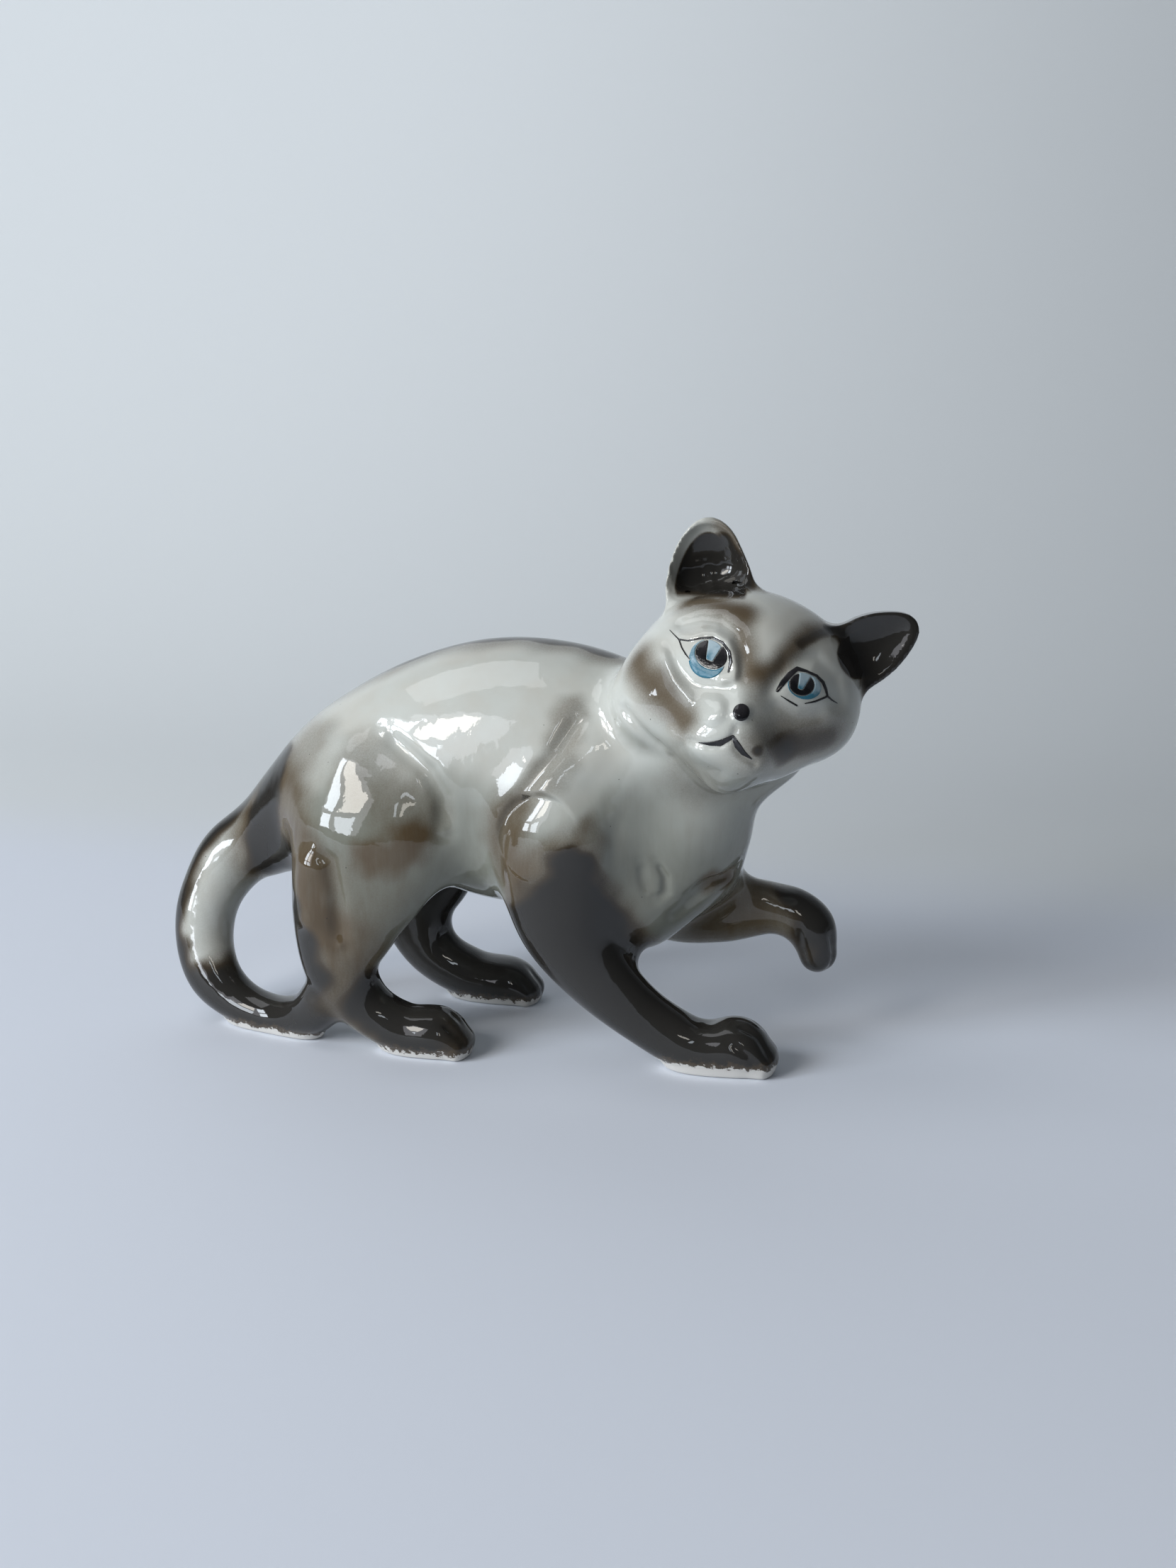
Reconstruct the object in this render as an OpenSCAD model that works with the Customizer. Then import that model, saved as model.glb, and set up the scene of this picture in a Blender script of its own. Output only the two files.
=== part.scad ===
// Slip-cast ceramic cat, walking with one forepaw raised and its head turned
// over its right shoulder. Clay castings are luted together with slip at the
// joints, and the face is drawn on the glaze in fired enamel.
// Frame: +X is the way the body faces, +Y its left side, +Z up, floor at z = 0.

/* [Casting] */
// Thickness of the hollow castings' walls
wall = 3.2; // [2.6:0.1:3.8]
// Radius of the firing vent in the belly
vent_r = 1.6; // [1.2:0.1:2]
// Height that the enamel stands above the glaze
enamel = 0.3; // [0.25:0.05:0.4]

/* [Head] */
// Turn of the face towards the right side, from looking straight to the right
head_yaw = 7; // [4:1:12]
// Nod of the face, upward when negative
head_pitch = -6; // [-10:1:0]
// Lean of the head towards its left ear
head_roll = 19; // [15:1:25]
// Width of the fine brush strokes round the eyes
stroke = 0.45; // [0.35:0.05:0.6]

/* [Hidden] */
sides = 24;        // corners of a swept section
ball_fn = 18;      // facets of a modelled mass
egg_fn = 28;       // facets of a large rounded form
leaf_fn = 14;      // facets of the balls that an ear is pressed from
head_at = [37, -9, 67];
frame_shift = [3.2, 3, 0];   // brings the footprint's centre to the origin

clay = "gainsboro";
dark = "dimgray";

// ---- sweeping ----------------------------------------------------------
// A station is [centre, half width across, half depth], with "across" near y.
function unit(v) = v / norm(v);
function pick(s, i) = s[max(0, min(len(s) - 1, i))];
function blend4(a, b, c, d, t) =
    0.5 * (2 * b + (c - a) * t + (2 * a - 5 * b + 4 * c - d) * t * t
           + (3 * b - a - 3 * c + d) * t * t * t);
function flat(st) = [st[0][0], st[0][1], st[0][2], st[1], st[2]];
function at(s, u) =
    let (i = min(floor(u), len(s) - 2), t = u - i)
    blend4(flat(pick(s, i - 1)), flat(s[i]), flat(s[i + 1]), flat(pick(s, i + 2)), t);
function centre(v) = [v[0], v[1], v[2]];
function heading(s, u) =
    unit(centre(at(s, min(u + 0.05, len(s) - 1))) - centre(at(s, max(u - 0.05, 0))));
function ring(c, dir, across, depth) =
    let (y = [0, 1, 0], side = unit(y - (y * dir) * dir), up = cross(dir, side))
    [for (k = [0:sides - 1]) let (a = 360 * k / sides)
        c + side * across * cos(a) + up * depth * sin(a)];
// Rings along the stations, closed at both ends by a rounded cap.
function rings(s, per, grow) =
    let (last = len(s) - 1, a0 = at(s, 0), a1 = at(s, last),
         d0 = heading(s, 0), d1 = heading(s, last), caps = [25, 55, 80])
    concat(
        [for (j = [len(caps) - 1:-1:0]) let (r = a0[4] + grow)
            ring(centre(a0) - d0 * min(a0[3] + grow, r) * sin(caps[j]), d0,
                 (a0[3] + grow) * cos(caps[j]), r * cos(caps[j]))],
        [for (j = [0:last * per]) let (u = j / per, v = at(s, u))
            ring(centre(v), heading(s, u), v[3] + grow, v[4] + grow)],
        [for (j = [0:len(caps) - 1]) let (r = a1[4] + grow)
            ring(centre(a1) + d1 * min(a1[3] + grow, r) * sin(caps[j]), d1,
                 (a1[3] + grow) * cos(caps[j]), r * cos(caps[j]))]);
module sweep(s, per = 3, grow = 0) {
    r = rings(s, per, grow);
    n = len(r);
    points = [for (ring = r) each ring];
    quads = [for (i = [0:n - 2], k = [0:sides - 1]) let (l = (k + 1) % sides)
        each [[i * sides + k, (i + 1) * sides + k, i * sides + l],
              [i * sides + l, (i + 1) * sides + k, (i + 1) * sides + l]]];
    bottom = [for (k = [0:sides - 1]) k];
    top = [for (k = [sides - 1:-1:0]) (n - 1) * sides + k];
    polyhedron(points, concat(quads, [bottom, top]), convexity = 6);
}
module mass(a, ra, b, rb) {
    hull() {
        translate(a) sphere(ra, $fn = ball_fn);
        translate(b) sphere(rb, $fn = ball_fn);
    }
}
module egg(c, r) { translate(c) scale(r) sphere(1, $fn = egg_fn); }
module above_floor() {
    intersection() {
        children();
        translate([-100, -100, 0]) cube([200, 200, 150]);
    }
}

// ---- castings ----------------------------------------------------------
trunk = [   // from the root of the tail to the chest
    [[-53, 0, 34], 7.5, 7.5],
    [[-44, 0, 39.5], 12, 11.5],
    [[-34, 0, 45], 16.5, 15.5],
    [[-22, 0, 48], 18, 20],
    [[-9, 0, 49], 18.5, 23.3],
    [[5, 0, 48.2], 18.5, 23.2],
    [[16, 0, 44], 17.5, 20.6],
    [[24, -1, 42], 13, 15]];

module trunk_form(grow = 0) {
    sweep(trunk, 3, grow);
    mass([14, -1, 53], 12.2 + grow, [31, -6, 61], 13 + grow);    // neck
    mass([2, 0, 57.5], 12 + grow, [15, -1, 53], 12 + grow);      // withers
    mass([15, -1, 31], 13 + grow, [23, 0, 37], 12.5 + grow);     // brisket
}
module torso_form() {
    trunk_form();
    mass([4, -11, 50], 9, [9, -12, 40], 8.5);        // right shoulder
    mass([6, 11, 50], 9, [14, 11, 38], 9);           // left shoulder
    mass([-30, -8, 48], 11, [-36, -9, 42], 9.5);     // right haunch
    mass([-28, 8, 48], 11, [-34, 9, 42], 9.5);       // left haunch
    mass([14, 8, 34], 9, [28, 9, 27.5], 5);          // root of the raised foreleg
    mass([32, -4, 53], 9, [39, -4, 58], 8.5);        // throat, on the left of the turned head
}
module neck_passage() { mass([24, -4, 57], 7, [38, -9, 66], 8); }
module vent() { translate([-8, 0, 20]) cylinder(r = vent_r, h = 20, $fn = 24); }

// Rounded lumps of the head, in its own frame with the face towards -y: centre, radii.
head_eggs = [
    [[0, 3, 1.8], [18.8, 16, 14.8]],      // cranium
    [[-0.6, 0, -0.5], [18.8, 13.5, 9.6]]];      // cheeks
// Tapered lumps: end, radius, end, radius.
head_masses = [
    [[-5, -5, -5.5], 8, [-2.8, -13, -8], 5],       // right whisker pad
    [[5, -5, -5], 7.5, [2.6, -13, -8], 5],         // left whisker pad
    [[0, -6, 6], 6, [-0.2, -15.2, -3.4], 3],       // bridge of the nose
    [[0, -2, -6], 10, [1, -9, -12], 4.4],          // chin
    [[-8, 3, -5], 11, [-12, 1, -6.5], 9.5]];       // right jowl, pressed out by the turn
module head_frame() {
    translate(head_at) rotate([head_pitch, head_roll, head_yaw]) children();
}
module head_form(grow = 0) {
    head_frame() {
        for (e = head_eggs) egg(e[0], e[1] + grow * [1, 1, 1]);
        for (m = head_masses) mass(m[0], m[1] + grow, m[2], m[3] + grow);
    }
}

// An ear is a leaf of clay, round at the back, with its front scooped out.
// Each ball is [centre, radius], in the head's frame.
right_ear_leaf = [
    [[-15.6, 3, 11], 1.9], [[-17.2, 4, 18], 1.8], [[-15.8, 5, 22.3], 1.7],
    [[-13.5, 5, 22.2], 1.7], [[-7.6, 3, 17.8], 1.9], [[-5, 2, 14.5], 2],
    [[-11, 6.5, 13], 3]];
right_ear_hollow = [
    [[-14.6, -0.6, 12.6], 1.3], [[-15.6, 1.5, 18.5], 1.2], [[-14.6, 3, 21.2], 1],
    [[-8.8, 0, 17.4], 1.3], [[-8, -1, 14.2], 1.4], [[-11.3, 3.6, 14.5], 2]];
left_ear_leaf = [
    [[11.2, 2, 13.6], 1.8], [[14.6, 3, 17.2], 1.8], [[20.6, 5, 19.4], 1.6],
    [[21.7, 5, 17.8], 1.6], [[20.6, 4, 12.8], 1.7], [[17.8, 2.4, 9], 2],
    [[16.2, 6.5, 12.6], 3]];
left_ear_hollow = [
    [[13.4, -1, 14], 1.3], [[15.6, 0.6, 16.4], 1.2], [[20, 3, 18], 1],
    [[19, 0.8, 12.8], 1.3], [[17, -0.8, 10.4], 1.4], [[16.4, 3.6, 13], 2]];
module ball(b) { translate(b[0]) sphere(b[1], $fn = leaf_fn); }
// A leaf is a fan of petals from its last ball to each pair along the rim.
module fan(balls) {
    last = len(balls) - 1;
    for (i = [0:last - 1]) hull() {
        ball(balls[i]);
        ball(balls[(i + 1) % last]);
        ball(balls[last]);
    }
}
module ear_form(leaf, hollow) {
    head_frame() difference() {
        fan(leaf);
        hull() for (b = hollow) ball(b);
    }
}

right_foreleg_path = [
    [[5, -6, 52], 7, 8],
    [[3.5, -14, 44], 8, 9],
    [[4, -15, 35], 7.4, 8.6],
    [[6.5, -14.5, 25.5], 6.2, 7.6],
    [[12.5, -13, 16.5], 5.2, 6.2],
    [[20.5, -11.5, 9], 4.6, 5],
    [[29, -10.5, 4.4], 5.2, 4.9],
    [[37, -9.8, 4.4], 5.9, 4.9],
    [[40.8, -9.3, 2.7], 5.2, 2.9]];
left_foreleg_path = [
    [[10, 11, 36], 7, 9],
    [[13, 11, 27], 6.5, 7.5],
    [[21, 10.5, 22.5], 6, 6.2],
    [[30, 10, 22.5], 5.2, 5.6],
    [[39.5, 10, 24], 4.8, 4.8],
    [[45.5, 10, 21.5], 4.8, 4.6],
    [[47.4, 10, 16], 4.4, 3.4]];
right_hind_leg_path = [
    [[-25, -6, 50], 8, 12],
    [[-26, -14.5, 42], 8, 15],
    [[-29.5, -16, 33], 7, 13],
    [[-32.5, -16, 24], 6, 10],
    [[-33.5, -15.5, 15], 5.4, 6.8],
    [[-29.5, -14.5, 8], 4.8, 4.8],
    [[-22.5, -14.2, 4.2], 5.1, 4.4],
    [[-15.8, -14, 3.9], 5.5, 4.2],
    [[-12.4, -13.9, 2.3], 4.9, 2.5]];
left_hind_leg_path = [
    [[-24, 6, 48], 8, 12],
    [[-26, 14, 38], 8, 13],
    [[-28, 15.5, 27], 6.5, 10.5],
    [[-30, 16, 17], 5.6, 7.5],
    [[-27, 16.2, 9], 5, 5.2],
    [[-19, 16.5, 4.5], 5.3, 4.7],
    [[-11.5, 16.5, 3.9], 5.7, 4.2],
    [[-8, 16.5, 2.4], 5, 2.6]];
tail_path = [
    [[-47, 0, 38], 5, 5],
    [[-58, -1, 31.4], 5.8, 6.6],
    [[-63.4, -2.4, 23.5], 5.3, 5.8],
    [[-64.6, -4.2, 15.5], 5, 5.4],
    [[-62, -6.4, 8.5], 4.6, 5],
    [[-56, -8, 4.2], 4.2, 3.9],
    [[-48.5, -9.4, 2.9], 4.2, 3.4],
    [[-41.5, -11.5, 4.6], 4.6, 4.2],
    [[-37, -14, 9], 4.8, 4.6]];

module torso() {
    color(clay) difference() {
        torso_form();
        trunk_form(-wall);
        neck_passage();
        vent();
    }
}
module head() {
    color(clay) difference() {
        head_form();
        torso_form();
        head_form(-wall);
        neck_passage();
    }
}
module ear(leaf, hollow) {
    color(dark) difference() {
        ear_form(leaf, hollow);
        head_form();
    }
}
module limb(path) {
    color(dark) above_floor() difference() {
        sweep(path);
        torso_form();
    }
}
module tail() {
    color(dark) above_floor() difference() {
        sweep(tail_path);
        torso_form();
        sweep(right_hind_leg_path);
    }
}

// ---- enamel, drawn flat in x and z of the head's frame and laid on the glaze ----
// A brush stroke is a chain of [x, z, width].
module brush(points) {
    for (i = [0:len(points) - 2]) hull() {
        translate([points[i][0], points[i][1]])
            circle(d = points[i][2], $fn = 10);
        translate([points[i + 1][0], points[i + 1][1]])
            circle(d = points[i + 1][2], $fn = 10);
    }
}
module disc(c, r) { translate(c) scale(r) circle(1, $fn = 24); }
// The pupil is a horseshoe, open at the top round a pale spark.
module pupil(c, r) {
    difference() {
        disc(c, r);
        disc(c, [0.36 * r[0], 0.5 * r[1]]);
        translate([c[0] - 0.3, c[1]]) square([0.6, 2 * r[1]]);
    }
}
right_pupil = [[-7.7, 4.6], [2.35, 2.1]];
left_pupil = [[7.6, 5.1], [2.05, 1.75]];
right_iris = [[-7.4, 3.8], [3.1, 3.1]];
left_iris = [[8.1, 5], [2.8, 2.05]];
right_lid = [[-15.5, 5.6, 0.3], [-13.5, 4.9, 0.4], [-12, 5.3, 0.4], [-10.3, 6.4, stroke],
    [-8.5, 7.2, stroke], [-6.7, 7.1, 0.5], [-5.2, 6.2, 0.6], [-4.4, 4.8, 0.6],
    [-4.2, 3.2, 0.5]];
right_lower_lid = [[-13.5, 4.9, 0.4], [-12.6, 3.9, 0.4], [-11.6, 3.2, 0.4], [-10.7, 2.7, 0.3]];
left_lid = [[4.2, 3, 0.8], [4.6, 4.5, 0.8], [5.2, 6, 0.7], [6, 7.2, 0.6], [7.6, 7.3, stroke],
    [9.4, 7.1, 0.5], [10.8, 6.4, 0.6], [11.7, 5.4, 0.5], [12.3, 4.5, stroke],
    [13.2, 4.1, 0.4], [14.3, 3.8, 0.3]];
left_lower_lid = [[9.1, 2.4, 0.3], [10.6, 3.2, stroke], [12.3, 4.5, stroke]];
left_inner_lid = [[5, 2.4, 0.3], [6.6, 2, stroke], [8, 1.7, stroke]];
mouth_line = [[-4.8, -8.8, 0.3], [-3.1, -8.3, 0.6], [-1.6, -7.6, 0.9], [0, -5.9, 0.6],
    [1.2, -7, 0.9], [2.4, -7.8, 0.7], [4, -8.3, 0.3]];
module right_lines() {
    brush(right_lid);
    brush(right_lower_lid);
}
module left_lines() {
    brush(left_lid);
    brush(left_lower_lid);
    brush(left_inner_lid);
}
module laid_on_glaze() {
    intersection() {
        difference() {
            head_form(enamel);
            head_form();
        }
        head_frame() rotate([90, 0, 0]) linear_extrude(30) children();
    }
}
module nose_enamel() {
    color("black") intersection() {
        difference() {
            head_form(0.9);
            head_form();
        }
        head_frame() egg([-0.1, -17.4, -1.8], [1.4, 1.8, 1.4]);
    }
}
module mouth_enamel() { color("black") laid_on_glaze() brush(mouth_line); }
module right_iris_enamel() {
    color("steelblue") laid_on_glaze() difference() {
        disc(right_iris[0], right_iris[1]);
        pupil(right_pupil[0], right_pupil[1]);
        right_lines();
    }
}
module left_iris_enamel() {
    color("steelblue") laid_on_glaze() difference() {
        disc(left_iris[0], left_iris[1]);
        pupil(left_pupil[0], left_pupil[1]);
        left_lines();
    }
}
module right_pupil_enamel() {
    color("black") laid_on_glaze() difference() {
        pupil(right_pupil[0], right_pupil[1]);
        right_lines();
    }
}
module left_pupil_enamel() {
    color("black") laid_on_glaze() difference() {
        pupil(left_pupil[0], left_pupil[1]);
        left_lines();
    }
}
module right_eye_lines() { color("black") laid_on_glaze() right_lines(); }
module left_eye_lines() { color("black") laid_on_glaze() left_lines(); }

module put() { translate(frame_shift) children(); }
put() torso();
put() head();
put() ear(right_ear_leaf, right_ear_hollow);  // right_ear
put() ear(left_ear_leaf, left_ear_hollow);  // left_ear
put() limb(right_foreleg_path);  // right_foreleg
put() limb(left_foreleg_path);  // left_foreleg
put() limb(right_hind_leg_path);  // right_hind_leg
put() limb(left_hind_leg_path);  // left_hind_leg
put() tail();
put() nose_enamel();
put() mouth_enamel();
put() right_iris_enamel();
put() left_iris_enamel();
put() right_pupil_enamel();
put() left_pupil_enamel();
put() right_eye_lines();
put() left_eye_lines();
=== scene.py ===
"""A slip-cast ceramic cat: the glazed skin, the fired enamel and the light, round the CAD frame.

Form is worked in millimetres as fields: the distance to a shape, negative inside it, sampled
on one grid. The castings are the CAD's own stations and masses. They are joined, their
creases are filled with slip, the details are pressed in, and the skin is cut back into
one closed piece for each casting.
"""
import math

import bpy
import numpy as np
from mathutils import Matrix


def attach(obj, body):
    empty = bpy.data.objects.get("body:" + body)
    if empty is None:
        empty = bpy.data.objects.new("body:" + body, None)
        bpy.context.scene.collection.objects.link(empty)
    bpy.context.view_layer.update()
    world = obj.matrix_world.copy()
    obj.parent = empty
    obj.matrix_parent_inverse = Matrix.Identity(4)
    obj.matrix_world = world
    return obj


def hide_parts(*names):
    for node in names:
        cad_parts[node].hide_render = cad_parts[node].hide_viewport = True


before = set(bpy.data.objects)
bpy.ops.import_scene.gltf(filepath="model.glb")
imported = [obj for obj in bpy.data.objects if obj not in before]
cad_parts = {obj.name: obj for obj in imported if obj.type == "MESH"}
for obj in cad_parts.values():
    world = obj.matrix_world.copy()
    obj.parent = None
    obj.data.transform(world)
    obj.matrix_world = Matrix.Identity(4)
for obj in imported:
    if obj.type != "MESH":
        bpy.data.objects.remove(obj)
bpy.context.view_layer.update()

import openvdb as vdb
from mathutils import Vector

MM = 0.001
SHIFT = np.array([3.2, 3.0, 0.0])     # from the modelling axes to the CAD frame
VOXEL = 0.42   # spacing of the grid
FOOT = 1.8                            # height of the upright edge of each foot
DRAW_IN = 0.35                        # how far that edge draws in for each mm towards the floor
BAND = 13.0                           # how far from a shape its field is kept
LOW = np.floor(np.array([-84.0, -36.0, -14.0]) / VOXEL).astype(int)
COUNT = np.ceil(np.array([162.0, 72.0, 124.0]) / VOXEL).astype(int)
AXES = [(LOW[a] + np.arange(COUNT[a], dtype=np.float32)) * np.float32(VOXEL) for a in range(3)]

# ---- form, in millimetres: the CAD's stations, [centre, half width, half depth] ----
TRUNK = [
    [(-53, 0, 34), 7.5, 7.5], [(-44, 0, 39.5), 12, 11.5], [(-34, 0, 45), 16.5, 15.5],
    [(-22, 0, 48), 18, 20], [(-9, 0, 49), 18.5, 23.3], [(5, 0, 48.2), 18.5, 23.2],
    [(16, 0, 44), 17.5, 20.6], [(24, -1, 42), 13, 15]]
# A mass is [end, radius, end, radius].
TORSO_MASSES = [
    [(14, -1, 53), 12.2, (31, -6, 61), 13],  # neck
    [(2, 0, 57.5), 12, (15, -1, 53), 12],  # withers
    [(15, -1, 31), 13, (23, 0, 37), 12.5],  # brisket
    [(4, -11, 50), 9, (9, -12, 40), 8.5],  # right shoulder
    [(6, 11, 50), 9, (14, 11, 38), 9],  # left shoulder
    [(-30, -8, 48), 11, (-36, -9, 42), 9.5],  # right haunch
    [(-28, 8, 48), 11, (-34, 9, 42), 9.5],  # left haunch
    [(14, 8, 34), 9, (28, 9, 27.5), 5],  # root of the raised foreleg
    [(32, -4, 53), 9, (39, -4, 58), 8.5]]         # throat
LIMBS = {
    "right_foreleg": [
        [(5, -6, 52), 7, 8], [(3.5, -14, 44), 8, 9], [(4, -15, 35), 7.4, 8.6],
        [(6.5, -14.5, 25.5), 6.2, 7.6], [(12.5, -13, 16.5), 5.2, 6.2],
        [(20.5, -11.5, 9), 4.6, 5], [(29, -10.5, 4.4), 5.2, 4.9], [(37, -9.8, 4.4), 5.9, 4.9],
        [(40.8, -9.3, 2.7), 5.2, 2.9]],
    "left_foreleg": [
        [(10, 11, 36), 7, 9], [(13, 11, 27), 6.5, 7.5], [(21, 10.5, 22.5), 6, 6.2],
        [(30, 10, 22.5), 5.2, 5.6], [(39.5, 10, 24), 4.8, 4.8], [(45.5, 10, 21.5), 4.8, 4.6],
        [(47.4, 10, 16), 4.4, 3.4]],
    "right_hind_leg": [
        [(-25, -6, 50), 8, 12], [(-26, -14.5, 42), 8, 15], [(-29.5, -16, 33), 7, 13],
        [(-32.5, -16, 24), 6, 10], [(-33.5, -15.5, 15), 5.4, 6.8], [(-29.5, -14.5, 8), 4.8, 4.8],
        [(-22.5, -14.2, 4.2), 5.1, 4.4], [(-15.8, -14, 3.9), 5.5, 4.2],
        [(-12.4, -13.9, 2.3), 4.9, 2.5]],
    "left_hind_leg": [
        [(-24, 6, 48), 8, 12], [(-26, 14, 38), 8, 13], [(-28, 15.5, 27), 6.5, 10.5],
        [(-30, 16, 17), 5.6, 7.5], [(-27, 16.2, 9), 5, 5.2], [(-19, 16.5, 4.5), 5.3, 4.7],
        [(-11.5, 16.5, 3.9), 5.7, 4.2], [(-8, 16.5, 2.4), 5, 2.6]],
    "tail": [
        [(-47, 0, 38), 5, 5], [(-58, -1, 31.4), 5.8, 6.6], [(-63.4, -2.4, 23.5), 5.3, 5.8],
        [(-64.6, -4.2, 15.5), 5, 5.4], [(-62, -6.4, 8.5), 4.6, 5], [(-56, -8, 4.2), 4.2, 3.9],
        [(-48.5, -9.4, 2.9), 4.2, 3.4], [(-41.5, -11.5, 4.6), 4.6, 4.2], [(-37, -14, 9), 4.8, 4.6]]}

# The head has its own frame: the face looks along -y, x is the viewer's right, z is up.
HEAD_AT = np.array([37.0, -9.0, 67.0])
HEAD_EGGS = [[(0, 3, 1.8), (18.8, 16, 14.8)], [(-0.6, 0, -0.5), (18.8, 13.5, 9.6)]]
HEAD_MASSES = [
    [(-5, -5, -5.5), 8, (-2.8, -13, -8), 5],  # right whisker pad
    [(5, -5, -5), 7.5, (2.6, -13, -8), 5],  # left whisker pad
    [(0, -6, 6), 6, (-0.2, -15.2, -3.4), 3],  # bridge of the nose
    [(0, -2, -6), 10, (1, -9, -12), 4.4],  # chin
    [(-8, 3, -5), 11, (-12, 1, -6.5), 9.5]]       # right jowl
# An ear is a leaf: its outline's corners (x, z), their radius, the depth y of its middle at the
# first corner with its lean per mm of x and z, the swelling of its back (x, z, y), and its
# hollow's outline and depth. The black in the hollow starts at a height, over a distance, with a
# rise per mm of x, and `behind` is how black the back is.
EARS = {
    "right_ear": dict(
        corners=[(-15.4, 8), (-17.6, 12), (-18.2, 18.4), (-16.4, 23.4), (-13, 23.4), (-9.4, 20),
                 (-6.4, 16.6), (-3.6, 11)],
        radius=1.5, middle=3.0, lean=(0.0, 0.17), back=(-11, 13, 6.5), scoop=4.6,
        fade=(10.2, 2.5, 0.33), behind=0.2,
        hollow=[(-14, 8.6), (-17.4, 11), (-17.9, 17.6), (-16.2, 22.2), (-13, 22.6), (-8.6, 18.6),
                (-5.2, 15), (-5.6, 9.6)]),
    "left_ear": dict(
        corners=[(10.4, 12), (14, 17), (20, 19.6), (22.3, 18.8), (21.8, 15), (20.2, 11),
                 (16.8, 6.8)],
        radius=1.5, middle=2.2, lean=(0.22, 0.04), back=(15.6, 12, 6.5), scoop=1.8,
        fade=(4, 3, 0), behind=0.85,
        hollow=[(11, 12.4), (14.4, 16.8), (20, 19.2), (22.2, 18.4), (21.4, 14.4), (19.8, 10.8),
                (16.4, 7.6), (12.6, 9.4)])}


def rotation(*turns):
    """Turns in degrees about x, y and z, in that order, as one matrix."""
    whole = np.eye(3)
    for axis, turn in enumerate(turns):
        a, b, turn = (axis + 1) % 3, (axis + 2) % 3, math.radians(turn)
        one = np.eye(3)
        one[a, a] = one[b, b] = math.cos(turn)
        one[b, a], one[a, b] = math.sin(turn), -math.sin(turn)
        whole = one @ whole
    return whole


HEAD_TURN = rotation(-6, 19, 7)


def from_head(points):
    return np.asarray(points, float) @ HEAD_TURN.T + HEAD_AT


def to_head(points):
    return (np.asarray(points) - HEAD_AT) @ HEAD_TURN


# ---- fields ----
def window(low, high):
    """Slices of the grid that cover a box."""
    a = np.clip(np.floor(np.array(low) / VOXEL).astype(int) - LOW, 0, COUNT - 1)
    b = np.clip(np.ceil(np.array(high) / VOXEL).astype(int) - LOW + 1, 1, COUNT)
    return tuple(slice(i, j) for i, j in zip(a, b))


def axes(win):
    x, y, z = (AXES[a][win[a]] for a in range(3))
    return x[:, None, None], y[None, :, None], z[None, None, :]


def head_axes(win):
    """The head's own coordinates of every grid point in a window."""
    x, y, z = (v - np.float32(c) for v, c in zip(axes(win), HEAD_AT))
    return [x * t[0] + y * t[1] + z * t[2] for t in HEAD_TURN.T.astype(np.float32)]


def blank():
    return np.full(COUNT, BAND, np.float32)


def level(points, quads, band=BAND):
    """The field of a closed mesh."""
    grid = vdb.FloatGrid.createLevelSetFromPolygons(
        points.astype(np.float32), quads=quads.astype(np.uint32),
        transform=vdb.createLinearTransform(voxelSize=VOXEL), halfWidth=band / VOXEL)
    out = np.empty(COUNT, np.float32)
    grid.copyToArray(out, ijk=tuple(int(v) for v in LOW))
    return out


def skin_of(field, at=0.0):
    """Quads along a field's surface, or along an offset from it."""
    grid = vdb.FloatGrid(BAND)
    grid.copyFromArray(np.ascontiguousarray(field), ijk=tuple(int(v) for v in LOW))
    points, quads = grid.convertToQuads(isovalue=at)
    return points * VOXEL, quads.astype(np.int64)


def fill_creases(field, radius):
    """Fills each inward crease with a fillet of this radius, and leaves the rest alone."""
    points, quads = skin_of(field, radius)
    return level(points, quads, 2 * radius + 3 * VOXEL) + radius


REGAIN = 0.25     # what the blur wears off the body, and gets back


def ironed(field, spread, low):
    """The field blurred above a height, so that its joins flow into each other."""
    steps = int(2.4 * spread / VOXEL)
    taps = np.exp(-0.5 * (np.arange(-steps, steps + 1) * VOXEL / spread) ** 2)
    taps /= taps.sum()
    blurred = field
    for axis in range(3):
        padded = np.pad(blurred, [(steps, steps) if a == axis else (0, 0) for a in range(3)], "edge")
        blurred = np.zeros_like(field)
        for k, tap in enumerate(taps):
            part = [slice(None)] * 3
            part[axis] = slice(k, k + field.shape[axis])
            blurred += np.float32(tap) * padded[tuple(part)]
    above = smooth_step((AXES[2] - low) / 10).astype(np.float32)[None, None, :]
    return field + above * (blurred - np.float32(REGAIN) - field)


def spline(table, u):
    """Catmull-Rom through the rows of a table."""
    i = np.clip(u.astype(int), 0, len(table) - 2)
    t = (u - i)[:, None]
    a, b, c, d = (table[np.clip(i + k, 0, len(table) - 1)] for k in (-1, 0, 1, 2))
    return 0.5 * (2 * b + (c - a) * t + (2 * a - 5 * b + 4 * c - d) * t ** 2
                  + (3 * b - a - 3 * c + d) * t ** 3)


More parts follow.
